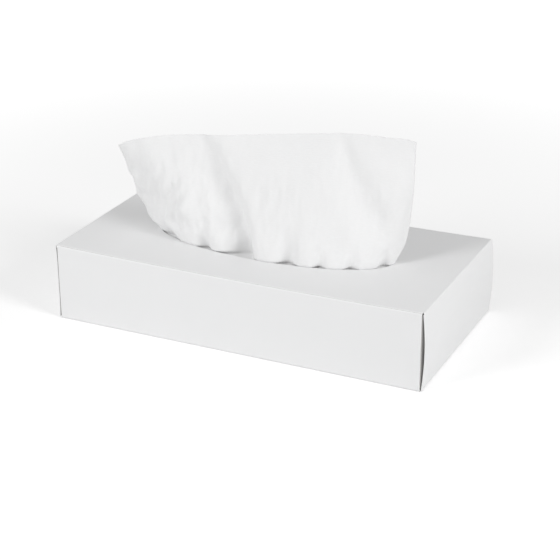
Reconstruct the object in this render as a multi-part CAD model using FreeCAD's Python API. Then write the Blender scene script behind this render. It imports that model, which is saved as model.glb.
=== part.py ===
"""Flat tissue box with one tissue standing in its opening, in millimetres.

The box lies on its bottom panel: +X along its length, -Y towards its front, +Z up, and the origin is
the centre of the bottom panel. The pieces are the folded and glued carton, the stack of interfolded
tissues, the next tissue of that stack and the tissue that stands in the opening.
"""
import FreeCAD
import Part
import math
import os

from FreeCAD import Vector

# Carton outside, fold line to fold line
length = 230.0
width = 116.0
height = 47.0

# Board and its folds
board = 0.45
fold_radius = 1.0
panel_sag = 1.0
seam_flap_depth = 14.0
seam_edge_drop = 1.3

# Oval opening in the top panel
opening_length = 150.0
opening_width = 55.0

# End closure, from the innermost flaps to the outermost
dust_flap_length = 42.0
dust_flap_taper = 3.0
flap_relief = 0.6
inner_flap_height = 34.0
inner_flap_inset = 3.0
outer_flap_inset = 0.4
outer_flap_rise = 0.8
outer_flap_bow_angle = 7.0
glue_line_length = 30.0
glue_line_start = 5.0
glue_line_height = 3.0
glue_line_offset = 27.0

# Tissues
sheet_width = 196.0
sheet_length = 200.0
sheet_thickness = 0.3
stack_height = 37.5
stack_fold_depth = 1.1
stack_fold_count = 12
stack_width = 102.0
leaf_edge_gap = 0.3

# Tissue in the opening
rim_clearance = 0.5
under_rim_inset = 2.0
under_rim_drop = 1.2
over_rim_rise = 1.6
over_rim_reach = 0.2
side_flare = 6.0
turn_run = 4.0
turn_lift = 0.1
lean_delay = 1.35
gather_fade = 1.6
gather_spread = 1.2
under_rim_gather = 0.6
rim_gather = 0.9
column_count = 25
sewing_tolerance = 1e-5

# Rows of the raised leaf: as shares of the way from the stack to the rim, and from there to the top
lead_shares = (0.33, 0.66)
standing_rises = (0.12, 0.26, 0.42, 0.60, 0.80, 1.0)

# Gathers of the standing tissue: place along the rim, half width, depth, share left at the top edge
gathers = [
    (-0.74, 0.12, 4.0, 0.10),
    (-0.40, 0.09, 2.8, 0.05),
    (-0.08, 0.11, 6.4, 0.08),
    (0.24, 0.10, 4.4, 0.10),
    (0.47, 0.08, 2.8, 0.05),
    (0.68, 0.09, 4.0, 0.12),
    (0.90, 0.09, 4.0, 0.10),
]

# Free edge of the standing tissue from left to right: share of half its width, y, rise over the carton
free_edge = [
    (-0.990, -11.0, 49.5),
    (-0.918, -11.0, 53.2),
    (-0.714, -9.0, 58.0),
    (-0.408, -5.0, 61.7),
    (-0.173, -4.0, 65.0),
    (0.173, -1.0, 69.4),
    (0.490, 1.0, 73.0),
    (0.704, 2.0, 73.4),
    (0.816, 3.0, 73.3),
    (0.867, 4.0, 72.2),
]

half_length = length / 2
half_width = width / 2
inner_radius = fold_radius - board
half_sheet = sheet_length / 2
turn_reach = half_sheet / 2
stack_top = board + stack_height
opening_bottom = height - panel_sag - board


def polygon_solid(points, along):
    return Part.Face(Part.makePolygon(points + points[:1])).extrude(along)


def arc_xz(centre_x, centre_z, radius, start, end, y):
    """An arc in a plane of constant y; angles in degrees from +X towards +Z."""
    points = []
    for angle in (start, (start + end) / 2, end):
        turn = math.radians(angle)
        points.append(Vector(centre_x + radius * math.cos(turn), y, centre_z + radius * math.sin(turn)))
    return Part.Arc(*points).toShape()


def joined(edges):
    """The edges in their order, with a straight line over each gap between two of them."""
    chain = []
    for i, edge in enumerate(edges):
        chain.append(edge)
        end = edge.lastVertex(True).Point
        start = edges[(i + 1) % len(edges)].firstVertex(True).Point
        if end.distanceToPoint(start) > 1e-6:
            chain.append(Part.makeLine(end, start))
    return Part.Wire(chain)


def sagging_block(start_y, end_y, low, high):
    """A block between the end folds, from start_y to end_y, whose top sags along the carton."""
    half = half_length - fold_radius
    floor = Part.makeLine(Vector(-half, start_y, low), Vector(half, start_y, low))
    top = Part.Arc(
        Vector(half, start_y, high), Vector(0, start_y, high - panel_sag), Vector(-half, start_y, high)
    ).toShape()
    return Part.Face(joined([floor, top])).extrude(Vector(0, end_y - start_y, 0))


def long_edge(block, y, at_top):
    """The edge of a sagging block that runs along the carton at y, at its top or its bottom."""
    for edge in block.Edges:
        box = edge.BoundBox
        is_long = box.XLength > half_length and abs(box.Center.y - y) < board / 4
        if is_long and (box.ZMax > height / 2) == at_top:
            return edge


def tube_block(inset, radius, seam_z):
    """Outside (inset 0) or inside (inset one board) of the tube; seam_z is where it steps out to the
    back panel, above the seam flap's lower edge inside and at the back panel's raw edge outside."""
    front = inset - half_width
    seam_y = half_width - board - inset
    back = half_width - inset
    main = sagging_block(front, seam_y, inset, height - inset)
    folds = [long_edge(main, front, False), long_edge(main, front, True), long_edge(main, seam_y, True)]
    main = main.makeFillet(radius, folds)
    rear = sagging_block(0, back, inset, seam_z)
    return main.fuse(rear.makeFillet(radius, [long_edge(rear, back, False)]))


def carton_tube():
    """The four panels from end fold to end fold, with the seam flap glued inside the back panel."""
    outside = tube_block(0, fold_radius, height - seam_edge_drop)
    inside = tube_block(board, inner_radius, height - seam_flap_depth)
    return outside.cut(inside)


def dust_flap(side):
    """Innermost flap, folded in from the front (side -1) or back (side 1) panel at the +X end."""
    fold_x = half_length - 2 * board - fold_radius
    fold_y = side * (half_width - fold_radius)
    low = fold_radius + flap_relief
    high = height - fold_radius - flap_relief
    ring = Part.makeCylinder(fold_radius, high - low, Vector(fold_x, fold_y, low))
    ring = ring.cut(Part.makeCylinder(inner_radius, high - low, Vector(fold_x, fold_y, low)))
    quarter = Part.makeBox(fold_radius, fold_radius, high - low, Vector(fold_x, fold_y, low))
    if side < 0:
        quarter.translate(Vector(0, -fold_radius, 0))
    ring = ring.common(quarter)
    face_x = fold_x + inner_radius
    tip_y = fold_y - side * dust_flap_length
    leaf = polygon_solid(
        [
            Vector(face_x, fold_y, low),
            Vector(face_x, fold_y, high),
            Vector(face_x, tip_y, high - dust_flap_taper),
            Vector(face_x, tip_y, low + dust_flap_taper),
        ],
        Vector(board, 0, 0),
    )
    return ring.fuse(leaf)


def inner_flap():
    """Flap folded up from the bottom panel, over the dust flaps."""
    fold_x = half_length - board - fold_radius
    start = inner_flap_inset - half_width
    outer = arc_xz(fold_x, fold_radius, fold_radius, -90, 0, start)
    inner = arc_xz(fold_x, fold_radius, inner_radius, 0, -90, start)
    top_edge = Part.makeLine(
        Vector(half_length - board, start, inner_flap_height),
        Vector(half_length - 2 * board, start, inner_flap_height),
    )
    span = Vector(0, width - 2 * inner_flap_inset, 0)
    return Part.Face(joined([outer, top_edge, inner])).extrude(span)


def bow_circle():
    """Centre x, centre z and outside radius of the outer flap's bow."""
    turn = math.radians(outer_flap_bow_angle)
    start_x = half_length - fold_radius + fold_radius * math.cos(turn)
    start_z = height - fold_radius + fold_radius * math.sin(turn)
    radius = (start_z - outer_flap_rise) / (2 * math.sin(turn))
    return start_x - radius * math.cos(turn), start_z - radius * math.sin(turn), radius


def outer_flap():
    """Outermost flap, folded down from the top panel and bowed outwards, with a raw lower edge.
    Its fold ends where the tube's long folds begin; below the fold it is nearly the carton's width."""
    turn = outer_flap_bow_angle
    centre_x, centre_z, radius = bow_circle()
    fold_x = half_length - fold_radius
    fold_z = height - fold_radius
    fold_start = outer_flap_inset + fold_radius - half_width
    fold_edges = [
        arc_xz(fold_x, fold_z, fold_radius, 90, turn, fold_start),
        arc_xz(centre_x, centre_z, radius, turn, -turn, fold_start),
        arc_xz(centre_x, centre_z, radius - board, -turn, turn, fold_start),
        arc_xz(fold_x, fold_z, inner_radius, turn, 90, fold_start),
    ]
    with_fold = Part.Face(joined(fold_edges)).extrude(Vector(0, -2 * fold_start, 0))
    start = outer_flap_inset - half_width
    leaf_edges = [
        arc_xz(centre_x, centre_z, radius, turn, -turn, start),
        arc_xz(centre_x, centre_z, radius - board, -turn, turn, start),
    ]
    leaf = Part.Face(joined(leaf_edges)).extrude(Vector(0, -2 * start, 0))
    return with_fold.fuse(leaf)


def glue_line(side):
    """Hot-melt line that holds the outer flap to the inner one, at its lower edge."""
    centre_x, centre_z, radius = bow_circle()
    middle = radius - board / 2
    low = glue_line_start
    high = glue_line_start + glue_line_height
    start = side * glue_line_offset - glue_line_length / 2
    angles = [math.degrees(math.asin((z - centre_z) / middle)) for z in (high, low)]
    bow = arc_xz(centre_x, centre_z, middle, angles[0], angles[1], start)
    back_x = half_length - 1.5 * board
    back = Part.makeLine(Vector(back_x, start, low), Vector(back_x, start, high))
    return Part.Face(joined([bow, back])).extrude(Vector(0, glue_line_length, 0))


def end_trim():
    """What the tube loses at its +X end, where three of its panels fold earlier than the top one."""
    tube_half = half_length - fold_radius
    side_x = half_length - 2 * board - fold_radius
    bottom_x = half_length - board - fold_radius
    depth = 4 * board
    low = fold_radius + flap_relief
    side_size = (tube_half - side_x, depth, height - 2 * low)
    bottom_size = (tube_half - bottom_x, width - 2 * inner_flap_inset, depth)
    return [
        Part.makeBox(*side_size, Vector(side_x, board - depth + half_width, low)),
        Part.makeBox(*side_size, Vector(side_x, -board - half_width, low)),
        Part.makeBox(*bottom_size, Vector(bottom_x, inner_flap_inset - half_width, -board)),
    ]


def mirrored_end(shape):
    return shape.mirror(Vector(0, 0, 0), Vector(1, 0, 0))


def carton():
    """One die-cut sheet of board, folded round the stack and glued at its seam and both ends."""
    flaps = [dust_flap(-1), dust_flap(1), inner_flap(), outer_flap(), glue_line(-1), glue_line(1)]
    trims = end_trim()
    shape = carton_tube()
    shape = shape.cut(trims + [mirrored_end(trim) for trim in trims])
    shape = shape.fuse(flaps + [mirrored_end(flap) for flap in flaps])
    oval = Part.Ellipse(Vector(0, 0, 0), opening_length / 2, opening_width / 2).toShape()
    oval.translate(Vector(0, 0, opening_bottom - board))
    hole = Part.Face(Part.Wire([oval])).extrude(Vector(0, 0, panel_sag + 3 * board))
    return shape.cut(hole).removeSplitter().Solids[0]


def tissue_stack():
    """Interfolded tissues as one block: cut edges at its ends, rows of folds along its long sides."""
    levels = [board + stack_height * i / stack_fold_count for i in range(stack_fold_count + 1)]
    fold_y = stack_width / 2 - stack_fold_depth
    start = -sheet_width / 2
    edges = []
    for low, high in zip(levels, levels[1:]):
        tip = Vector(start, stack_width / 2, (low + high) / 2)
        edges.append(Part.Arc(Vector(start, fold_y, low), tip, Vector(start, fold_y, high)).toShape())
    falling = levels[::-1]
    for high, low in zip(falling, falling[1:]):
        tip = Vector(start, -stack_width / 2, (low + high) / 2)
        edges.append(Part.Arc(Vector(start, -fold_y, high), tip, Vector(start, -fold_y, low)).toShape())
    return Part.Face(joined(edges)).extrude(Vector(sheet_width, 0, 0))


def sheet_turn(side, low):
    """Where a sheet turns back over one sheet's thickness, at the stack's front (-1) or back (1)."""
    turn_y = side * turn_reach
    centre_z = low + 1.5 * sheet_thickness
    start = -sheet_width / 2
    outside = Part.Arc(
        Vector(start, turn_y, low),
        Vector(start, turn_y + side * 1.5 * sheet_thickness, centre_z),
        Vector(start, turn_y, low + 3 * sheet_thickness),
    ).toShape()
    inside = Part.Arc(
        Vector(start, turn_y, low + 2 * sheet_thickness),
        Vector(start, turn_y + side * 0.5 * sheet_thickness, centre_z),
        Vector(start, turn_y, low + sheet_thickness),
    ).toShape()
    return Part.Face(joined([outside, inside])).extrude(Vector(sheet_width, 0, 0))


def next_tissue():
    """The sheet that follows: folded round the raised one's lower leaf, with its fold at the back."""
    reach = half_sheet - leaf_edge_gap
    corner_y = turn_reach - reach
    leaves = []
    for low in (stack_top, stack_top + 2 * sheet_thickness):
        corner = Vector(-sheet_width / 2, corner_y, low)
        leaves.append(Part.makeBox(sheet_width, reach, sheet_thickness, corner))
    return sheet_turn(1, stack_top).fuse(leaves).removeSplitter().Solids[0]


def rim_line(inset, z):
    """Points at equal steps along the front half of the oval, drawn in by an inset."""
    oval = Part.Ellipse(Vector(0, 0, z), opening_length / 2 - inset, opening_width / 2 - inset)
    arc = Part.ArcOfEllipse(oval, math.pi, 2 * math.pi).toShape()
    return arc.discretize(Number=column_count)


def gather_depth(place, rise):
    """How far the gathers draw the sheet in, at a place across it and a rise from the rim to its top."""
    depth = 0.0
    for centre, half, deep, left in gathers:
        fade = left + (1 - left) * (1 - rise) ** gather_fade
        spread = half * (1 + gather_spread * rise)
        depth += deep * fade * math.exp(-(((place - centre) / spread) ** 2))
    return depth


def standing_rows():
    """Control points of the raised leaf, row by row from its turn to its free edge."""
    edge = Part.BSplineCurve()
    edge.interpolate([Vector(share * sheet_width / 2, y, height + rise) for share, y, rise in free_edge])
    top = edge.toShape().discretize(Number=column_count)
    under = rim_line(rim_clearance + under_rim_inset, opening_bottom - under_rim_drop)
    rim = rim_line(rim_clearance, (opening_bottom + height) / 2)
    over = rim_line(rim_clearance - over_rim_reach, height + over_rim_rise)
    places = [2 * i / (column_count - 1) - 1 for i in range(column_count)]
    squash = (opening_width / opening_length) ** 2
    inward = [Vector(-point.x * squash, -point.y, 0).normalize() for point in rim]
    turn_z = stack_top + 3.5 * sheet_thickness

    def gathered(line, share):
        """A rim row with its gathers."""
        depths = [share * gather_depth(place, 0.0) for place in places]
        return [point + way * depth for point, way, depth in zip(line, inward, depths)]

    flat = [Vector(place * sheet_width / 2, -turn_reach, turn_z) for place in places]
    start = [point + Vector(0, turn_run, turn_lift) for point in flat]
    below = gathered(under, under_rim_gather)
    rows = [flat, start]
    for share in lead_shares:
        row = []
        for a, b in zip(start, below):
            step = b - a
            row.append(a + Vector(step.x * share, step.y * share, step.z * share ** 2))
        rows.append(row)
    rows += [below, gathered(rim, rim_gather), gathered(over, 1.0)]
    for rise in standing_rises:
        row = []
        for i, place in enumerate(places):
            step = top[i] - over[i]
            flare = side_flare * place ** 3 * math.sin(math.pi * rise ** 0.7)
            point = over[i] + Vector(step.x * rise + flare, step.y * rise ** lean_delay, step.z * rise)
            way = (inward[i] * (1 - rise) + Vector(0, rise, 0)).normalize()
            row.append(point + way * gather_depth(place, rise))
        rows.append(row)
    return rows


def sheet_edge(rows, j, lift):
    """The curve along row j of the sheet's middle surface, moved by lift along the surface's normal."""
    poles = []
    for i, point in enumerate(rows[j]):
        across = rows[j][min(i + 1, column_count - 1)] - rows[j][max(i - 1, 0)]
        upward = rows[min(j + 1, len(rows) - 1)][i] - rows[max(j - 1, 0)][i]
        normal = Vector(0, 0, 1) if j < 2 else across.cross(upward).normalize()
        poles.append(point + normal * lift)
    curve = Part.BSplineCurve()
    curve.buildFromPoles(poles, False, 3)
    return curve.toShape()


def path_length(rows, i):
    """Length of the standing leaf from its turn to its free edge, at column i."""
    return sum(below[i].distanceToPoint(above[i]) for below, above in zip(rows, rows[1:]))


def lower_leaf(rows):
    """The lying leaf, which has what the standing one leaves of the sheet's length."""
    low = stack_top + sheet_thickness
    columns = (0, len(rows[0]) // 2, len(rows[0]) - 1)
    back = []
    for i in columns:
        back.append(Vector(rows[0][i].x, sheet_length - path_length(rows, i) - turn_reach, low))
    front = [Vector(rows[0][i].x, -turn_reach, low) for i in (0, -1)]
    outline = joined([Part.Arc(*back).toShape(), Part.makeLine(front[1], front[0])])
    return Part.Face(outline).extrude(Vector(0, 0, sheet_thickness))


def standing_leaf(rows):
    """The leaf that stands up, in ruled strips from row to row at its front and its back."""
    front = [sheet_edge(rows, j, sheet_thickness / 2) for j in range(len(rows))]
    back = [sheet_edge(rows, j, -sheet_thickness / 2) for j in range(len(rows))]
    faces = [Part.makeRuledSurface(front[0], back[0]), Part.makeRuledSurface(front[-1], back[-1])]
    for j in range(len(rows) - 1):
        faces.append(Part.makeRuledSurface(front[j], front[j + 1]))
        faces.append(Part.makeRuledSurface(back[j], back[j + 1]))
        for end in (0, -1):
            corners = [edge.Vertexes[end].Point for edge in (front[j], front[j + 1], back[j + 1], back[j])]
            for picked in ((0, 1, 2, 0), (0, 2, 3, 0)):
                faces.append(Part.Face(Part.makePolygon([corners[k] for k in picked])))
    skin = Part.makeCompound(faces)
    skin.sewShape(sewing_tolerance)
    leaf = Part.makeSolid(skin)
    if leaf.Volume < 0:
        leaf.reverse()
    return leaf


def raised_tissue():
    """One sheet: a leaf between the next tissue's leaves, its turn, and the leaf that stands up."""
    rows = standing_rows()
    turn = sheet_turn(-1, stack_top + sheet_thickness)
    return standing_leaf(rows).fuse([turn, lower_leaf(rows)]).Solids[0]


os.makedirs("parts", exist_ok=True)
nodes = {
    "carton": carton(),
    "tissue_stack": tissue_stack(),
    "next_tissue": next_tissue(),
    "raised_tissue": raised_tissue(),
}
for name, shape in nodes.items():
    shape.exportStep(f"parts/{name}.step")
    print(name, shape.ShapeType, len(shape.Solids), shape.isValid(), round(shape.Volume, 1))
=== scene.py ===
import math

import bmesh
import bpy
from mathutils import Matrix, Vector, noise


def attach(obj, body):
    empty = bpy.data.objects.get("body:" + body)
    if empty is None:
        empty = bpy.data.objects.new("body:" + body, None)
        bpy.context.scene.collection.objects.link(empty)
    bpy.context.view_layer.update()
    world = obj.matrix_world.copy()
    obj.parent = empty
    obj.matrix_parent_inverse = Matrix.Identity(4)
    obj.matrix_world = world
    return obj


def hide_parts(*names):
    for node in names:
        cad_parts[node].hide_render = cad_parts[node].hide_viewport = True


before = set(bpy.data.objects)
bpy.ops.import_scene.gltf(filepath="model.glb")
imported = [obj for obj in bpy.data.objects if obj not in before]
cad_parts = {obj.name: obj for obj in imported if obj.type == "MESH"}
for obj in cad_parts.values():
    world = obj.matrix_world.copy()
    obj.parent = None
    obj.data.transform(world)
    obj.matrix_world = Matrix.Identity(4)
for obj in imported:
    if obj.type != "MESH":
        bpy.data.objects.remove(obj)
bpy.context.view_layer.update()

# The photograph's view: a long lens that looks down on the box's front from a little to its right.
# The corners of the box in the photograph gave its angles, its distance and its slight roll.
view_aim = Vector((0.003382, 0.0, 0.022969))
view_turn = math.radians(25.331)
view_rise = math.radians(23.704)
view_roll = math.radians(-0.269)
view_distance = 0.93247
view_lens = 101.04
sensor_width = 36.0

towards = Vector((
    math.sin(view_turn) * math.cos(view_rise),
    -math.cos(view_turn) * math.cos(view_rise),
    math.sin(view_rise),
))
level = Vector((math.cos(view_turn), math.sin(view_turn), 0.0))
upright = towards.cross(level)
across = level * math.cos(view_roll) + upright * math.sin(view_roll)
upwards = upright * math.cos(view_roll) - level * math.sin(view_roll)
stand = view_aim + towards * view_distance

bpy.ops.object.select_all(action="DESELECT")
bpy.ops.object.camera_add()
camera = bpy.context.object
camera.name = "photograph_view"
camera.data.lens = view_lens
camera.data.sensor_width = sensor_width
camera.matrix_world = Matrix((
    (across.x, upwards.x, towards.x, stand.x),
    (across.y, upwards.y, towards.y, stand.y),
    (across.z, upwards.z, towards.z, stand.z),
    (0.0, 0.0, 0.0, 1.0),
))
bpy.context.scene.camera = camera
bpy.context.scene.view_settings.view_transform = "Standard"


# The carton: one die-cut sheet of card, coated white outside and plain inside, folded round the stack,
# glued along its seam and at both ends, with an oval torn out of its top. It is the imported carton, with
# the left end's outer flap pressed nearly flat: in the photograph only the right one stands off.
carton_half_length = 0.115
carton_half_width = 0.058
carton_height = 0.047
top_sag = 0.001
board_thickness = 0.00045
fold_reach = 0.0016
end_layers = 0.004
rim_half_length = 0.075
rim_half_width = 0.0275
coated_white = (0.855, 0.857, 0.860, 1.0)
worn_and_highlit_white = (0.872, 0.873, 0.873, 1.0)
# The board's grey back, which also serves as painted shade in the slits at the ends
grey_back_and_slit_shade = (0.520, 0.514, 0.500, 1.0)
cut_white = (0.820, 0.814, 0.800, 1.0)
coated_roughness = 0.46
plain_roughness = 0.82
sheen_swing = 0.08
unrubbed = 0.35
rubbed_bare = 0.62
oval_and_rim = 1.02
steep = 0.5


def place_node(tree, kind, spot, settings=None, inputs=None):
    """A shader node at a spot in the editor, with its settings and its values or links."""
    made = tree.nodes.new(kind)
    made.location = (spot[0] * 200, spot[1] * 160)
    for name, value in (settings or {}).items():
        setattr(made, name, value)
    for socket, value in (inputs or {}).items():
        if isinstance(value, bpy.types.NodeSocket):
            tree.links.new(value, made.inputs[socket])
        else:
            made.inputs[socket].default_value = value
    return made


def calculate(tree, operation, spot, *values):
    """The result of one Math node."""
    made = place_node(tree, "ShaderNodeMath", spot, {"operation": operation}, dict(enumerate(values)))
    return made.outputs[0]


def between(tree, spot, value, low, high):
    """0 below low, 1 above high, and smooth in between."""
    made = place_node(
        tree,
        "ShaderNodeMapRange",
        spot,
        {"interpolation_type": "SMOOTHSTEP"},
        {"Value": value, "From Min": low, "From Max": high},
    )
    return made.outputs["Result"]


def blend_colours(tree, spot, share, first, second):
    """The Color output of a Mix node between two colours."""
    made = place_node(tree, "ShaderNodeMix", spot, {"data_type": "RGBA"})
    for socket, value in ((made.inputs[0], share), (made.inputs[6], first), (made.inputs[7], second)):
        if isinstance(value, bpy.types.NodeSocket):
            tree.links.new(value, socket)
        else:
            socket.default_value = value
    return made.outputs[2]


def paper_fibre_group():
    """Fibres felted into paper or card: their relief, and the slight cloudiness of their thickness."""
    group = bpy.data.node_groups.new("paper_fibres", "ShaderNodeTree")
    group.interface.new_socket("Vector", in_out="INPUT", socket_type="NodeSocketVector")
    for name in ("Fibre scale", "Cloud scale", "Cloud depth"):
        group.interface.new_socket(name, in_out="INPUT", socket_type="NodeSocketFloat")
    group.interface.new_socket("Relief", in_out="OUTPUT", socket_type="NodeSocketFloat")
    group.interface.new_socket("Tone", in_out="OUTPUT", socket_type="NodeSocketFloat")
    start = place_node(group, "NodeGroupInput", (0, 0))
    fibres = place_node(
        group,
        "ShaderNodeTexNoise",
        (1, 1),
        None,
        {"Vector": start.outputs["Vector"], "Scale": start.outputs["Fibre scale"], "Detail": 3.0,
         "Roughness": 0.62, "Distortion": 0.9},
    )
    cloud = place_node(
        group,
        "ShaderNodeTexNoise",
        (1, -1),
        None,
        {"Vector": start.outputs["Vector"], "Scale": start.outputs["Cloud scale"], "Detail": 4.0,
         "Roughness": 0.55},
    )
    swing = calculate(group, "SUBTRACT", (2, -1), cloud.outputs["Fac"], 0.5)
    depth = calculate(group, "MULTIPLY", (3, -1), swing, start.outputs["Cloud depth"])
    tone = calculate(group, "ADD", (4, -1), depth, 1.0)
    end = place_node(group, "NodeGroupOutput", (5, 0))
    group.links.new(fibres.outputs["Fac"], end.inputs["Relief"])
    group.links.new(tone, end.inputs["Tone"])
    return group


paper_fibres = paper_fibre_group()


def new_material(name):
    """An empty node material, with its Principled BSDF and its coordinates."""
    material = bpy.data.materials.new(name)
    material.use_nodes = True
    tree = material.node_tree
    coordinates = place_node(tree, "ShaderNodeTexCoord", (-8, 0))
    return material, tree, tree.nodes["Principled BSDF"], coordinates


def fibres_in(tree, spot, vector, fibre_scale, cloud_scale, cloud_depth):
    """The fibre group in a material, with its own values."""
    made = place_node(tree, "ShaderNodeGroup", spot, {"node_tree": paper_fibres})
    tree.links.new(vector, made.inputs["Vector"])
    made.inputs["Fibre scale"].default_value = fibre_scale
    made.inputs["Cloud scale"].default_value = cloud_scale
    made.inputs["Cloud depth"].default_value = cloud_depth
    return made


def toned(tree, spot, colour, tone):
    """A colour, made a little lighter or darker by a tone."""
    made = place_node(
        tree, "ShaderNodeVectorMath", spot, {"operation": "SCALE"}, {0: colour, "Scale": tone}
    )
    return made.outputs[0]


def coated_board():
    """White coated card: painted lighter at its folds, as rubbed wear and a painted highlight, fibrous
    where it is cut, plain and grey inside, the grey also painting shade into the slits between its end
    flaps.
    """
    material, tree, shader, coordinates = new_material("coated_white_card")
    point = place_node(tree, "ShaderNodeSeparateXYZ", (-7, 0), None, {0: coordinates.outputs["Object"]})
    facing = place_node(
        tree, "ShaderNodeSeparateXYZ", (-7, -2), None, {0: coordinates.outputs["Normal"]}
    )
    x, y, z = point.outputs
    far_x = calculate(tree, "ABSOLUTE", (-6, 2), x)
    far_y = calculate(tree, "ABSOLUTE", (-6, 1), y)

    # The panel's top at this x: it sags between the end folds
    share_x = calculate(tree, "DIVIDE", (-5, 3), x, carton_half_length)
    share_squared = calculate(tree, "MULTIPLY", (-4, 3), share_x, share_x)
    sagging = calculate(tree, "MULTIPLY", (-3, 3), share_squared, top_sag)
    top_z = calculate(tree, "ADD", (-2, 3), sagging, carton_height - top_sag)
    under_top = calculate(tree, "SUBTRACT", (-1, 3), top_z, z)

    # Near which folds this point lies
    at_side = between(tree, (-5, 2), far_y, carton_half_width - fold_reach, carton_half_width)
    at_end = between(tree, (-5, 1), far_x, carton_half_length - fold_reach, carton_half_length)
    at_top = between(tree, (-4, 2), under_top, fold_reach, 0.0)
    at_bottom = between(tree, (-4, 1), z, fold_reach, 0.0)
    at_level = calculate(tree, "MAXIMUM", (-3, 2), at_top, at_bottom)
    long_fold = calculate(tree, "MULTIPLY", (-2, 2), at_side, at_level)
    end_fold = calculate(tree, "MULTIPLY", (-2, 1), at_end, at_level)
    corner_fold = calculate(tree, "MULTIPLY", (-2, 0), at_end, at_side)
    fold = calculate(tree, "MAXIMUM", (-1, 2), long_fold, end_fold)
    fold = calculate(tree, "MAXIMUM", (-1, 1), fold, corner_fold)
    # Wear and a painted highlight: the folds are painted lighter where the noise says they are rubbed.
    scuffs = place_node(
        tree,
        "ShaderNodeTexNoise",
        (-3, -1),
        None,
        {"Vector": coordinates.outputs["Object"], "Scale": 260.0, "Detail": 5.0, "Roughness": 0.65},
    )
    rubbed = between(tree, (-2, -1), scuffs.outputs["Fac"], unrubbed, rubbed_bare)
    wear_and_highlight = calculate(tree, "MULTIPLY", (0, 1), fold, rubbed)

    # Cut edges of the oval, whose faces look sideways
    oval_x = calculate(tree, "DIVIDE", (-6, -3), x, rim_half_length)
    oval_y = calculate(tree, "DIVIDE", (-6, -4), y, rim_half_width)
    oval_x = calculate(tree, "MULTIPLY", (-5, -3), oval_x, oval_x)
    oval_y = calculate(tree, "MULTIPLY", (-5, -4), oval_y, oval_y)
    oval = calculate(tree, "ADD", (-4, -3), oval_x, oval_y)
    in_oval = calculate(tree, "LESS_THAN", (-3, -3), oval, oval_and_rim)
    tilt = calculate(tree, "ABSOLUTE", (-4, -4), facing.outputs[2])
    sideways = calculate(tree, "LESS_THAN", (-3, -4), tilt, steep)
    cut = calculate(tree, "MULTIPLY", (-2, -3), in_oval, sideways)

    # The plain inner side
    half_board = board_thickness / 2
    below_top = calculate(tree, "GREATER_THAN", (-1, -3), under_top, half_board)
    above_floor = calculate(tree, "GREATER_THAN", (-1, -4), z, half_board)
    inside_y = calculate(tree, "LESS_THAN", (-1, -5), far_y, carton_half_width - half_board)
    inside_x = calculate(tree, "LESS_THAN", (-1, -6), far_x, carton_half_length - 2 * board_thickness)
    inside = calculate(tree, "MULTIPLY", (0, -3), below_top, above_floor)
    inside = calculate(tree, "MULTIPLY", (0, -4), inside, inside_y)
    inside = calculate(tree, "MULTIPLY", (0, -5), inside, inside_x)

    # The same grey back on the end flaps' faces that look into the box, which also paints shade into the
    # slits between the flaps
    which_end = calculate(tree, "SIGN", (-6, -6), x)
    outwards = calculate(tree, "MULTIPLY", (-5, -6), which_end, facing.outputs[0])
    looks_in = calculate(tree, "LESS_THAN", (-4, -6), outwards, -steep)
    among_flaps = calculate(tree, "GREATER_THAN", (-4, -7), far_x, carton_half_length - end_layers)
    flap_back = calculate(tree, "MULTIPLY", (-3, -6), looks_in, among_flaps)
    inside = calculate(tree, "MAXIMUM", (0, -6), inside, flap_back)

    fibres = fibres_in(
        tree,
        (-3, 5),
        coordinates.outputs["Object"],
        fibre_scale=1300.0,
        cloud_scale=55.0,
        cloud_depth=0.018,
    )
    # Lighter at the folds, as wear and a painted highlight
    colour = blend_colours(tree, (1, 2), wear_and_highlight, coated_white, worn_and_highlit_white)
    # Grey on the board's back, also painted shade in the end slits
    colour = blend_colours(tree, (2, 2), inside, colour, grey_back_and_slit_shade)
    colour = blend_colours(tree, (3, 2), cut, colour, cut_white)
    colour = toned(tree, (4, 2), colour, fibres.outputs["Tone"])
    tree.links.new(colour, shader.inputs["Base Color"])

    dull = calculate(tree, "MAXIMUM", (1, 0), inside, cut)
    dull = calculate(tree, "MAXIMUM", (2, 0), dull, wear_and_highlight)
    rough = calculate(tree, "MULTIPLY", (3, 0), dull, plain_roughness - coated_roughness)
    sheen_spots = calculate(tree, "MULTIPLY", (3, 1), fibres.outputs["Relief"], sheen_swing)
    rough = calculate(tree, "ADD", (4, 0), rough, sheen_spots)
    rough = calculate(tree, "ADD", (5, 0), rough, coated_roughness - sheen_swing / 2)
    tree.links.new(rough, shader.inputs["Roughness"])

    # Fibres under the coating, and the card's broad unevenness
    uneven = place_node(
        tree,
        "ShaderNodeTexNoise",
        (1, -2),
        None,
        {"Vector": coordinates.outputs["Object"], "Scale": 16.0, "Detail": 1.5, "Roughness": 0.4},
    )
    fine = place_node(
        tree,
        "ShaderNodeBump",
        (4, -2),
        None,
        {"Height": fibres.outputs["Relief"], "Strength": 0.25, "Distance": 0.00004},
    )
    broad = place_node(
        tree,
        "ShaderNodeBump",
        (5, -2),
        None,
        {"Height": uneven.outputs["Fac"], "Strength": 0.5, "Distance": 0.0006,
         "Normal": fine.outputs["Normal"]},
    )
    tree.links.new(broad.outputs["Normal"], shader.inputs["Normal"])
    shader.inputs["IOR"].default_value = 1.45
    shader.inputs["Specular IOR Level"].default_value = 0.35
    return material


left_flap_bow = 0.00138
left_flap_middle = 0.02346
left_flap_half_height = 0.02266
left_flap_pressed = 0.98
left_flap_closed = 0.0004
outer_flap_side_y = -0.057
inner_flap_side_y = -0.055
inner_flap_top = 0.034
inner_flap_step = 0.003

# Distances that tell the end's layers of board apart
merge_distance = 0.000001
hair = 0.00001
near = board_thickness / 8
flap_back_x = board_thickness - carton_half_length - hair
inner_flap_x = carton_half_length - 2 * board_thickness - near

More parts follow.
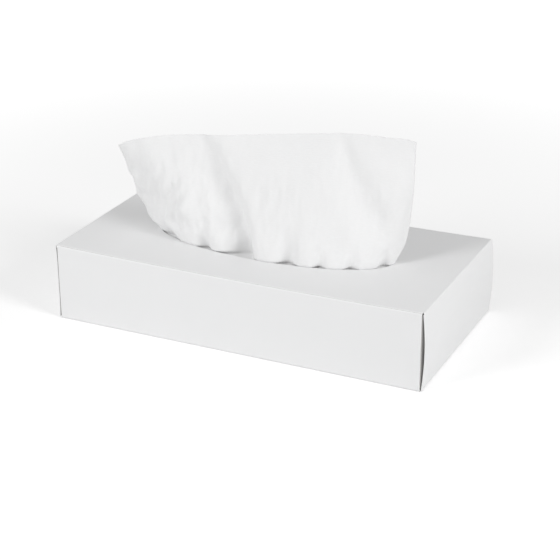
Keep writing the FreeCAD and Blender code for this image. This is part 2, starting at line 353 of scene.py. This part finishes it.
carton = bpy.data.objects.new("folded_carton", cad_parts["carton"].data.copy())
bpy.context.scene.collection.objects.link(carton)
bpy.ops.object.select_all(action="DESELECT")
bpy.context.view_layer.objects.active = carton
carton.select_set(True)
bpy.ops.object.mode_set(mode="EDIT")
bpy.ops.mesh.select_all(action="SELECT")
bpy.ops.mesh.remove_doubles(threshold=merge_distance)
bpy.ops.mesh.select_mode(type="VERT")


def move_points(chosen, step):
    """Moves the points of the carton that a test chooses."""
    bpy.ops.mesh.select_all(action="DESELECT")
    shell = bmesh.from_edit_mesh(carton.data)
    for vertex in shell.verts:
        vertex.select = chosen(vertex.co)
    shell.select_flush_mode()
    bmesh.update_edit_mesh(carton.data)
    bpy.ops.transform.translate(value=step)


def push_in(chosen, depth, power):
    """Pushes chosen points of the left flap in, fully at half its height and less towards its ends."""
    shell = bmesh.from_edit_mesh(carton.data)
    for level in sorted({round(vertex.co.z, 4) for vertex in shell.verts if chosen(vertex.co)}):
        share = (level - left_flap_middle) / left_flap_half_height
        step = depth * (1 - share ** power)
        if step > 0:
            move_points(lambda point: chosen(point) and round(point.z, 4) == level, (step, 0.0, 0.0))


def on_left_flap(point):
    """Whether a point is on the left end's outer flap, where that stands off."""
    return point.x < flap_back_x


def on_left_flap_side(point):
    """Whether a point is on the front side edge of that flap."""
    return point.x < flap_back_x + near and point.y < outer_flap_side_y


def on_inner_flap_side(point):
    """Whether a point is on the front side edge of the right end's inner flap, over its fold."""
    in_layer = point.x > inner_flap_x and abs(point.y - inner_flap_side_y) < near
    return in_layer and fold_reach / 2 < point.z < inner_flap_top + board_thickness


# The left flap loses its bow, and its front side edge closes on the flap under it. At the right end the
# inner flap's side edge lies further in, so that the slit beside it is deep and dark.
push_in(on_left_flap, left_flap_pressed * left_flap_bow, 2)
push_in(on_left_flap_side, left_flap_closed, 4)
move_points(on_inner_flap_side, (0.0, inner_flap_step, 0.0))
bpy.ops.object.mode_set(mode="OBJECT")
bpy.ops.mesh.customdata_custom_splitnormals_clear()
bpy.ops.object.shade_flat()
carton.data.materials.clear()
carton.data.materials.append(coated_board())
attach(carton, "root")
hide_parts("carton")


# The stack of tissues: nearly a hundred soft two-ply sheets, folded and laid into each other, so its
# long sides are rows of folds and its ends are cut edges. It lies loose on the carton's bottom. Each
# leaf here stands for nearly four sheets.
stack_half_length = 0.098
stack_half_width = 0.051
stack_bottom = 0.00045
stack_height = 0.0375
stack_leaf_count = 26
stack_fold_depth = 0.0009
stack_columns = 28
stack_rows = 10
sharp_edge = 40.0
tissue_white = (0.848, 0.849, 0.851, 1.0)
shaded_white = (0.780, 0.780, 0.782, 1.0)
tissue_roughness = 0.93
# How much darker the crepe's hollows are painted, as shade
crepe_shade_floor = 0.986
crepe_shade_swing = 0.018


def tissue_paper(name, layered):
    """Soft creped tissue, on a sheet's own map or as the layered edges of the stack."""
    material, tree, shader, coordinates = new_material(name)
    if layered:
        vector = coordinates.outputs["Object"]
        squeeze = (1.0, 1.0, 9.0)
    else:
        vector = coordinates.outputs["UV"]
        squeeze = (1.0, 5.0, 1.0)
    stretched = place_node(
        tree, "ShaderNodeMapping", (-6, 0), None, {"Vector": vector, "Scale": squeeze}
    )
    crepe = place_node(
        tree,
        "ShaderNodeTexNoise",
        (-5, 1),
        None,
        {"Vector": stretched.outputs["Vector"], "Scale": 340.0, "Detail": 4.0, "Roughness": 0.6,
         "Distortion": 0.5},
    )
    fibres = fibres_in(tree, (-5, -1), vector, fibre_scale=900.0, cloud_scale=70.0, cloud_depth=0.03)
    crinkle = between(tree, (-4, 1), crepe.outputs["Fac"], 0.3, 0.7)
    if layered:
        colour = blend_colours(tree, (-3, 1), crinkle, shaded_white, tissue_white)
    else:
        # Painted shade: the sheet is a little darker in the hollows of its crepe
        crepe_shade = calculate(tree, "MULTIPLY", (-4, 2), crinkle, crepe_shade_swing)
        crepe_shade = calculate(tree, "ADD", (-3, 2), crepe_shade, crepe_shade_floor)
        colour = toned(tree, (-2, 2), tissue_white[:3], crepe_shade)
    colour = toned(tree, (-1, 1), colour, fibres.outputs["Tone"])
    tree.links.new(colour, shader.inputs["Base Color"])
    shader.inputs["Roughness"].default_value = tissue_roughness
    shader.inputs["Specular IOR Level"].default_value = 0.15
    shader.inputs["Sheen Weight"].default_value = 0.06
    shader.inputs["Sheen Roughness"].default_value = 0.6
    grain = place_node(
        tree,
        "ShaderNodeBump",
        (-2, -1),
        None,
        {"Height": fibres.outputs["Relief"], "Strength": 0.3, "Distance": 0.00005},
    )
    waves = place_node(
        tree,
        "ShaderNodeBump",
        (-1, -1),
        None,
        {"Height": crepe.outputs["Fac"], "Strength": 0.35, "Distance": 0.00022,
         "Normal": grain.outputs["Normal"]},
    )
    tree.links.new(waves.outputs["Normal"], shader.inputs["Normal"])
    return material


bpy.ops.object.select_all(action="DESELECT")
bpy.ops.mesh.primitive_grid_add(x_subdivisions=stack_columns, y_subdivisions=stack_rows, size=1.0)
stack = bpy.context.object
stack.name = "tissue_stack_leaves"
bpy.ops.object.mode_set(mode="EDIT")
bpy.ops.mesh.select_all(action="SELECT")
fold_share = (stack_half_width - stack_fold_depth) / stack_half_width
bpy.ops.transform.resize(
    value=(2 * stack_half_length, 2 * stack_half_width * fold_share, 1.0),
    center_override=(0.0, 0.0, 0.0),
)
bpy.ops.transform.translate(value=(0.0, 0.0, stack_bottom))
half_leaf = stack_height / stack_leaf_count / 2
for leaf in range(stack_leaf_count):
    for stretch in (1 / fold_share, fold_share):
        bpy.ops.mesh.extrude_region_move(TRANSFORM_OT_translate={"value": (0.0, 0.0, half_leaf)})
        bpy.ops.transform.resize(value=(1.0, stretch, 1.0), center_override=(0.0, 0.0, 0.0))
bpy.ops.mesh.select_all(action="SELECT")
bpy.ops.mesh.normals_make_consistent(inside=False)
bpy.ops.object.mode_set(mode="OBJECT")
bpy.ops.object.shade_smooth_by_angle(angle=math.radians(sharp_edge))
stack.data.materials.append(tissue_paper("stacked_tissue", layered=True))
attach(stack, "root")
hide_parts("tissue_stack")


# The next tissue: one two-ply sheet that lies folded on the stack with its fold at the back, round the
# lower leaf of the sheet that stands up. Pulling that one out will draw this one after it.
mm = 0.001
sheet_width = 196.0
sheet_length = 200.0
ply_gap = 0.3
turn_y = 50.0
stack_top = 37.95
leaf_edge_gap = 0.3
next_columns = 99
lower_steps = 40
upper_steps = 80
turn_steps = 6
tissue_thickness = 0.00022

# The layers over the stack lie a ply gap apart, the lowest half a gap up
next_lower_z = stack_top + 0.5 * ply_gap
raised_lower_z = stack_top + 1.5 * ply_gap
next_upper_z = stack_top + 2.5 * ply_gap
raised_upper_z = stack_top + 3.5 * ply_gap

# The upper leaf's ruffles: where they begin, are full, fade and end from front to back, where they fade
# and end towards the sides, and their heights
ruffled_y = (-14.0, 6.0, 34.0, 46.0)
ruffled_x = (60.0, 84.0)
wave_height = 4.2
ripple_height = 0.9
crease_height = 2.2


def sheet_object(name, rows):
    """A sheet from rows of points in millimetres, with a map in metres along and across it."""
    mesh = bmesh.new()
    across_map = mesh.loops.layers.uv.new("sheet")
    grid = [[mesh.verts.new(point * mm) for point in row] for row in rows]
    travel = [0.0]
    middle = len(rows[0]) // 2
    for low, high in zip(rows, rows[1:]):
        travel.append(travel[-1] + (high[middle] - low[middle]).length * mm)
    for j in range(len(grid) - 1):
        for i in range(len(grid[0]) - 1):
            face = mesh.faces.new((grid[j][i], grid[j][i + 1], grid[j + 1][i + 1], grid[j + 1][i]))
            face.smooth = True
            for loop, (across_step, along_step) in zip(face.loops, ((0, 0), (1, 0), (1, 1), (0, 1))):
                share = (i + across_step) / (len(grid[0]) - 1)
                loop[across_map].uv = (share * sheet_width * mm, travel[j + along_step])
    data = bpy.data.meshes.new(name)
    mesh.to_mesh(data)
    mesh.free()
    made = bpy.data.objects.new(name, data)
    bpy.context.scene.collection.objects.link(made)
    bpy.ops.object.select_all(action="DESELECT")
    bpy.context.view_layer.objects.active = made
    made.select_set(True)
    plies = made.modifiers.new("plies", "SOLIDIFY")
    plies.thickness = tissue_thickness
    plies.offset = 0.0
    plies.use_even_offset = True
    bpy.ops.object.modifier_apply(modifier="plies")
    return made


def smooth_step(low, high, value):
    """0 at low, 1 at high, and smooth in between."""
    share = min(max((value - low) / (high - low), 0.0), 1.0)
    return share * share * (3 - 2 * share)


def ruffle(x, y):
    """How far the loose upper leaf rises where the raised sheet has pulled at it, in millimetres."""
    begin, full, fading, end = ruffled_y
    inner, outer = ruffled_x
    reach = smooth_step(begin, full, y) * smooth_step(end, fading, y) * smooth_step(outer, inner, abs(x))
    wave = 0.5 + 0.5 * noise.noise(Vector((x * 0.035, y * 0.09, 3.7)))
    ripple = 0.5 + 0.5 * noise.noise(Vector((x * 0.12, y * 0.21, 9.1)))
    crease = abs(noise.noise(Vector((x * 0.05 + 3.0, y * 0.12, 6.4))))
    return reach * (wave_height * wave ** 2 + ripple_height * ripple + crease_height * (1 - crease) ** 2)


def next_rows():
    """Rows of the folded sheet, from the lower leaf's free edge round the back fold to the upper one."""
    columns = [sheet_width * (i / (next_columns - 1) - 0.5) for i in range(next_columns)]
    front_y = leaf_edge_gap - turn_y
    radius = (next_upper_z - next_lower_z) / 2
    rows = []
    for step in range(lower_steps + 1):
        y = front_y + (turn_y - front_y) * step / lower_steps
        rows.append([Vector((x, y, next_lower_z)) for x in columns])
    for step in range(1, turn_steps):
        angle = math.pi * step / turn_steps
        y = turn_y + radius * math.sin(angle)
        z = next_lower_z + radius - radius * math.cos(angle)
        rows.append([Vector((x, y, z)) for x in columns])
    for step in range(upper_steps + 1):
        y = turn_y + (front_y - turn_y) * step / upper_steps
        rows.append([Vector((x, y, next_upper_z + ruffle(x, y))) for x in columns])
    return rows


next_sheet = sheet_object("next_tissue_sheet", next_rows())
creped_tissue = tissue_paper("creped_tissue", layered=False)
next_sheet.data.materials.append(creped_tissue)
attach(next_sheet, "root")
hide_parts("next_tissue")


# The raised tissue: one two-ply sheet whose lower half lies in the folded one. It turns round that one's
# front edge, is gathered by the front of the oval's rim, and fans out above it, held by friction alone.
raised_columns = 177
rise_count = 15
rise_power = 1.15
lead_shares = (0.33, 0.66)
steps_between_rows = 6
edge_steps = 24
rim_steps = 720
lying_steps = 30
right_end_turn = 6.0
rim_top = 46.0
rim_climb = 1.0
under_rim_inset = 2.5
under_rim_gather = 0.6
rim_gather = 0.9
turn_run = 4.0
turn_lift = 0.1
left_flare = 6.6
left_flare_start = 0.36
right_flare = 4.0
right_flare_start = 0.70
lean_delay = 1.35

# Rows at the rim: how far inside the oval's edge they pass, and their height over the panel there
rim_rows = [
    (under_rim_inset, -1.65, under_rim_gather),
    (0.50, -0.30, rim_gather),
    (-0.90, 0.50, 1.0),
    (-1.15, 1.80, 1.0),
]
gather_spread = 1.1
gather_fade = 1.6
drift_power = 1.5
coarse_depth = 2.6
crease_depth = 4.6
fine_depth = 1.6
smooth_part = 0.30
crumple_begin = 0.12
crumple_fading = (0.35, 0.95)
crumple_faded = 0.80

# Each gather: place along the rim, drift of its line towards the top, half width to its left and right,
# depth, the rise by which it has faded, and the share of its depth that is left at the free edge
gathers = [
    (-0.74, 0.02, 0.085, 0.075, 4.0, 0.60, 0.08),
    (-0.40, -0.18, 0.055, 0.045, 3.8, 0.45, 0.04),
    (-0.08, -0.38, 0.140, 0.048, 9.5, 0.95, 0.22),
    (0.21, 0.14, 0.055, 0.060, 4.4, 0.30, 0.00),
    (0.43, -0.02, 0.032, 0.040, 3.0, 0.20, 0.00),
    (0.64, 0.06, 0.036, 0.042, 2.8, 0.16, 0.00),
    (0.87, -0.04, 0.050, 0.040, 3.4, 0.14, 0.00),
]

# Each dent: place and rise of its middle, half width across and along, slant of its line, and depth
dents = [
    (0.70, 0.42, 0.120, 0.300, -0.35, 5.4),
    (0.56, 0.82, 0.050, 0.160, -0.20, 1.4),
    (0.02, 0.50, 0.220, 0.110, 0.40, 1.9),
    (0.52, 0.20, 0.090, 0.150, 0.10, 2.4),
    (-0.84, 0.34, 0.090, 0.130, 0.15, 1.6),
    (-0.60, 0.62, 0.080, 0.180, -0.20, 1.4),
    (-0.52, 0.30, 0.060, 0.120, 0.30, -1.2),
    (0.80, 0.03, 0.110, 0.025, 0.00, -1.3),
]

# Free edge from left to right: share of half the sheet's width, y and z in millimetres
free_edge = [
    (-0.959, -16.0, 98.5),
    (-0.888, -16.0, 102.1),
    (-0.685, -14.0, 106.9),
    (-0.387, -9.0, 110.1),
    (-0.167, -5.5, 112.5),
    (0.173, -1.0, 116.4),
    (0.490, 1.0, 120.0),
    (0.704, 2.0, 120.4),
    (0.816, 3.0, 120.3),
    (0.867, 4.0, 119.2),
]


def evenly(points, count):
    """Points at equal distances along a line of closely spaced ones."""
    travel = [0.0]
    for a, b in zip(points, points[1:]):
        travel.append(travel[-1] + (b - a).length)
    spaced = []
    k = 0
    for i in range(count):
        goal = travel[-1] * i / (count - 1)
        while k < len(points) - 2 and travel[k + 1] < goal:
            k += 1
        span = travel[k + 1] - travel[k]
        spaced.append(points[k].lerp(points[k + 1], (goal - travel[k]) / span))
    return spaced


def through(points, steps):
    """A smooth line through points, in steps between each two of them."""
    line = []
    for k in range(len(points) - 1):
        a = points[max(k - 1, 0)]
        b, c = points[k], points[k + 1]
        d = points[min(k + 2, len(points) - 1)]
        leave = (c - a) / max((c - a).length, 1e-9) * (c - b).length
        arrive = (d - b) / max((d - b).length, 1e-9) * (c - b).length
        for step in range(steps):
            t = step / steps
            line.append(
                b * (2 * t ** 3 - 3 * t ** 2 + 1)
                + leave * (t ** 3 - 2 * t ** 2 + t)
                + c * (3 * t ** 2 - 2 * t ** 3)
                + arrive * (t ** 3 - t ** 2)
            )
    return line + [points[-1]]


def eased(points, steps):
    """A smooth line led by points, which starts at the first and ends at the last."""
    led = points[:1] * 2 + points + points[-1:] * 2
    line = []
    for a, b, c, d in zip(led, led[1:], led[2:], led[3:]):
        for step in range(steps):
            t = step / steps
            line.append(
                (a * (1 - t) ** 3
                 + b * (3 * t ** 3 - 6 * t ** 2 + 4)
                 + c * (3 * t ** 2 - 3 * t ** 3 + 3 * t + 1)
                 + d * t ** 3) / 6
            )
    return line + [points[-1]]


def rim_line(inset, rise):
    """Points at equal steps along the oval's front and round its right end, at a rise over the panel."""
    dense = []
    sweep = math.pi + math.radians(right_end_turn)
    for i in range(rim_steps + 1):
        angle = math.pi + sweep * i / rim_steps
        x = (rim_half_length / mm - inset) * math.cos(angle)
        y = (rim_half_width / mm - inset) * math.sin(angle)
        climb = rim_climb * (x / (carton_half_length / mm)) ** 2
        dense.append(Vector((x, y, rim_top + climb + rise)))
    return evenly(dense, raised_columns)


def gather_depth(place, rise):
    """How far the gathers draw the sheet in, at a place across it and a rise from the rim to its top."""
    depth = 0.0
    for centre, drift, left_half, right_half, deep, reach, left in gathers:
        fade = left + (1 - left) * math.exp(-((rise / reach) ** 2) * gather_fade)
        away = place - centre - drift * rise ** drift_power
        half = (left_half if away < 0 else right_half) * (1 + gather_spread * rise)
        depth += deep * fade * math.exp(-((away / half) ** 2))
    return depth


def crumple(place, rise):
    """Dents and fine creases of handled tissue, deepest near the rim and in the sheet's left part."""
    left_part = smooth_part + (1 - smooth_part) * smooth_step(-0.05, -0.35, place)
    strength = (1 - crumple_faded * smooth_step(*crumple_fading, rise)) * left_part
    coarse = noise.noise(Vector((place * 7.5 + rise * 1.5, rise * 3.4, 1.3)))
    crease = abs(noise.noise(Vector((place * 9.0 - rise * 2.5 + 4.0, rise * 4.5, 5.9))))
    fine = abs(noise.noise(Vector((place * 21.0 + 7.0, rise * 9.0, 2.2))))
    dented = 0.0
    for centre, middle, half_across, half_along, slant, deep in dents:
        away = (place - centre - slant * (rise - middle)) / half_across
        dented += deep * math.exp(-(away ** 2) - ((rise - middle) / half_along) ** 2)
    return strength * (coarse_depth * coarse - crease_depth * crease - fine_depth * fine) + dented


def raised_rows():
    """Rows of the raised sheet, from the free edge of its lying leaf to the one that stands."""
    places = [2 * i / (raised_columns - 1) - 1 for i in range(raised_columns)]
    corners = [Vector((share * sheet_width / 2, y, z)) for share, y, z in free_edge]
    top = evenly(through(corners, edge_steps), raised_columns)
    squash = (rim_half_width / rim_half_length) ** 2
    inward = [Vector((-point.x * squash, -point.y, 0.0)).normalized() for point in rim_line(0.0, 0.0)]

    def gathered(inset, rise, share):
        depths = [share * gather_depth(place, 0.0) for place in places]
        line = rim_line(inset, rise)
        return [point + way * depth for point, way, depth in zip(line, inward, depths)]

    flat = [Vector((place * sheet_width / 2, -turn_y, raised_upper_z)) for place in places]
    start = [point + Vector((0.0, turn_run, turn_lift)) for point in flat]
    at_rim = [gathered(*row) for row in rim_rows]
    below = at_rim[0]
    over = rim_line(*rim_rows[-1][:2])
    leads = [flat, start]
    for share in lead_shares:
        row = []
        for a, b in zip(start, below):
            step = b - a
            row.append(a + Vector((step.x * share, step.y * share, step.z * share ** 2)))
        leads.append(row)
    leads += at_rim
    for k in range(1, rise_count + 1):
        rise = (k / rise_count) ** rise_power
        row = []
        for i, place in enumerate(places):
            step = top[i] - over[i]
            if place < 0:
                flare = left_flare * place ** 3 * math.sin(math.pi * rise ** left_flare_start)
            else:
                flare = right_flare * place ** 3 * math.sin(math.pi * rise ** right_flare_start)
            point = over[i] + Vector((step.x * rise + flare, step.y * rise ** lean_delay, step.z * rise))
            way = (inward[i] * (1 - rise) + Vector((0.0, rise, 0.0))).normalized()
            depth = gather_depth(place, rise) + crumple(place, rise) * smooth_step(0.0, crumple_begin, rise)
            row.append(point + way * depth)
        leads.append(row)
    columns = [eased([row[i] for row in leads], steps_between_rows) for i in range(raised_columns)]
    standing = [[column[j] for column in columns] for j in range(len(columns[0]))]

    # The lying leaf has what the standing one leaves of the sheet's length
    lengths = []
    for i in (0, raised_columns // 2, raised_columns - 1):
        column = columns[i]
        lengths.append(sum((b - a).length for a, b in zip(column, column[1:])))
    ends = [sheet_length - length - turn_y for length in lengths]
    bow = (ends[0] + ends[2]) / 2 - ends[1]
    slant = (ends[2] - ends[0]) / 2
    radius = (raised_upper_z - raised_lower_z) / 2
    rows = []
    for step in range(lying_steps + 1):
        row = []
        for place in places:
            rear = ends[1] + slant * place + bow * place ** 2
            y = rear + (-turn_y - rear) * step / lying_steps
            row.append(Vector((place * sheet_width / 2, y, raised_lower_z)))
        rows.append(row)
    for step in range(1, turn_steps):
        angle = math.pi * step / turn_steps
        y = -turn_y - radius * math.sin(angle)
        z = raised_lower_z + radius - radius * math.cos(angle)
        rows.append([Vector((place * sheet_width / 2, y, z)) for place in places])
    return rows + standing


raised_sheet = sheet_object("raised_tissue_sheet", raised_rows())
raised_sheet.data.materials.append(creped_tissue)
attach(raised_sheet, "root")
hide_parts("raised_tissue")


# The table for the picture: a plain white sweep under the box, a white surround, and two broad soft
# lamps, one in front to the left and a stronger one at the right, over even light from all round.
floor_half = 3.0
floor_tone = 0.86
near_glow = 0.30
far_glow = 0.70
near_reach = 0.20
far_reach = 0.90
surround_light = 0.43
lamp_aim = Vector((0.0, 0.0, 0.05))
lamps = [
    ("front_left_lamp", (-0.76, -1.190, 0.751), 0.6, 9.4),
    ("right_lamp", (1.371, -0.342, 0.751), 0.6, 10.4),
]


def white_sweep():
    """Matt white floor that the camera sees a little lighter, so that only its shadow shows."""
    material, tree, shader, coordinates = new_material("white_sweep")
    fibres = fibres_in(
        tree, (-5, 0), coordinates.outputs["Object"], fibre_scale=400.0, cloud_scale=6.0, cloud_depth=0.01
    )
    colour = toned(tree, (-3, 0), (floor_tone, floor_tone, floor_tone), fibres.outputs["Tone"])
    tree.links.new(colour, shader.inputs["Base Color"])
    shader.inputs["Roughness"].default_value = 0.95
    shader.inputs["Specular IOR Level"].default_value = 0.0
    seen = place_node(tree, "ShaderNodeLightPath", (-5, -2))
    away = place_node(
        tree, "ShaderNodeVectorMath", (-6, -3), {"operation": "LENGTH"}, {0: coordinates.outputs["Object"]}
    )
    spread = between(tree, (-5, -3), away.outputs["Value"], near_reach, far_reach)
    grown = calculate(tree, "MULTIPLY", (-4, -3), spread, far_glow - near_glow)
    grown = calculate(tree, "ADD", (-4, -2), grown, near_glow)
    glow = calculate(tree, "MULTIPLY", (-3, -2), seen.outputs["Is Camera Ray"], grown)
    shader.inputs["Emission Color"].default_value = (1.0, 1.0, 1.0, 1.0)
    tree.links.new(glow, shader.inputs["Emission Strength"])
    return material


bpy.ops.object.select_all(action="DESELECT")
bpy.ops.mesh.primitive_plane_add(size=2 * floor_half)
floor = bpy.context.object
floor.name = "white_floor"
floor.data.materials.append(white_sweep())

world = bpy.data.worlds.new("white_surround")
world.use_nodes = True
bpy.context.scene.world = world
sky = world.node_tree
backdrop = sky.nodes["Background"]
backdrop.inputs["Color"].default_value = (1.0, 1.0, 1.0, 1.0)
rays = place_node(sky, "ShaderNodeLightPath", (-4, 0))
direct = calculate(sky, "MAXIMUM", (-3, 0), rays.outputs["Is Camera Ray"], rays.outputs["Is Glossy Ray"])
direct = calculate(sky, "MAXIMUM", (-2, 0), direct, rays.outputs["Is Transmission Ray"])
extra = calculate(sky, "MULTIPLY", (-1, 0), direct, 1.0 - surround_light)
strength = calculate(sky, "ADD", (0, 0), extra, surround_light)
sky.links.new(strength, backdrop.inputs["Strength"])

for name, spot, size, power in lamps:
    bpy.ops.object.light_add(type="AREA", location=spot)
    lamp = bpy.context.object
    lamp.name = name
    lamp.data.shape = "DISK"
    lamp.data.size = size
    lamp.data.energy = power
    lamp.rotation_euler = (lamp_aim - Vector(spot)).to_track_quat("-Z", "Y").to_euler()
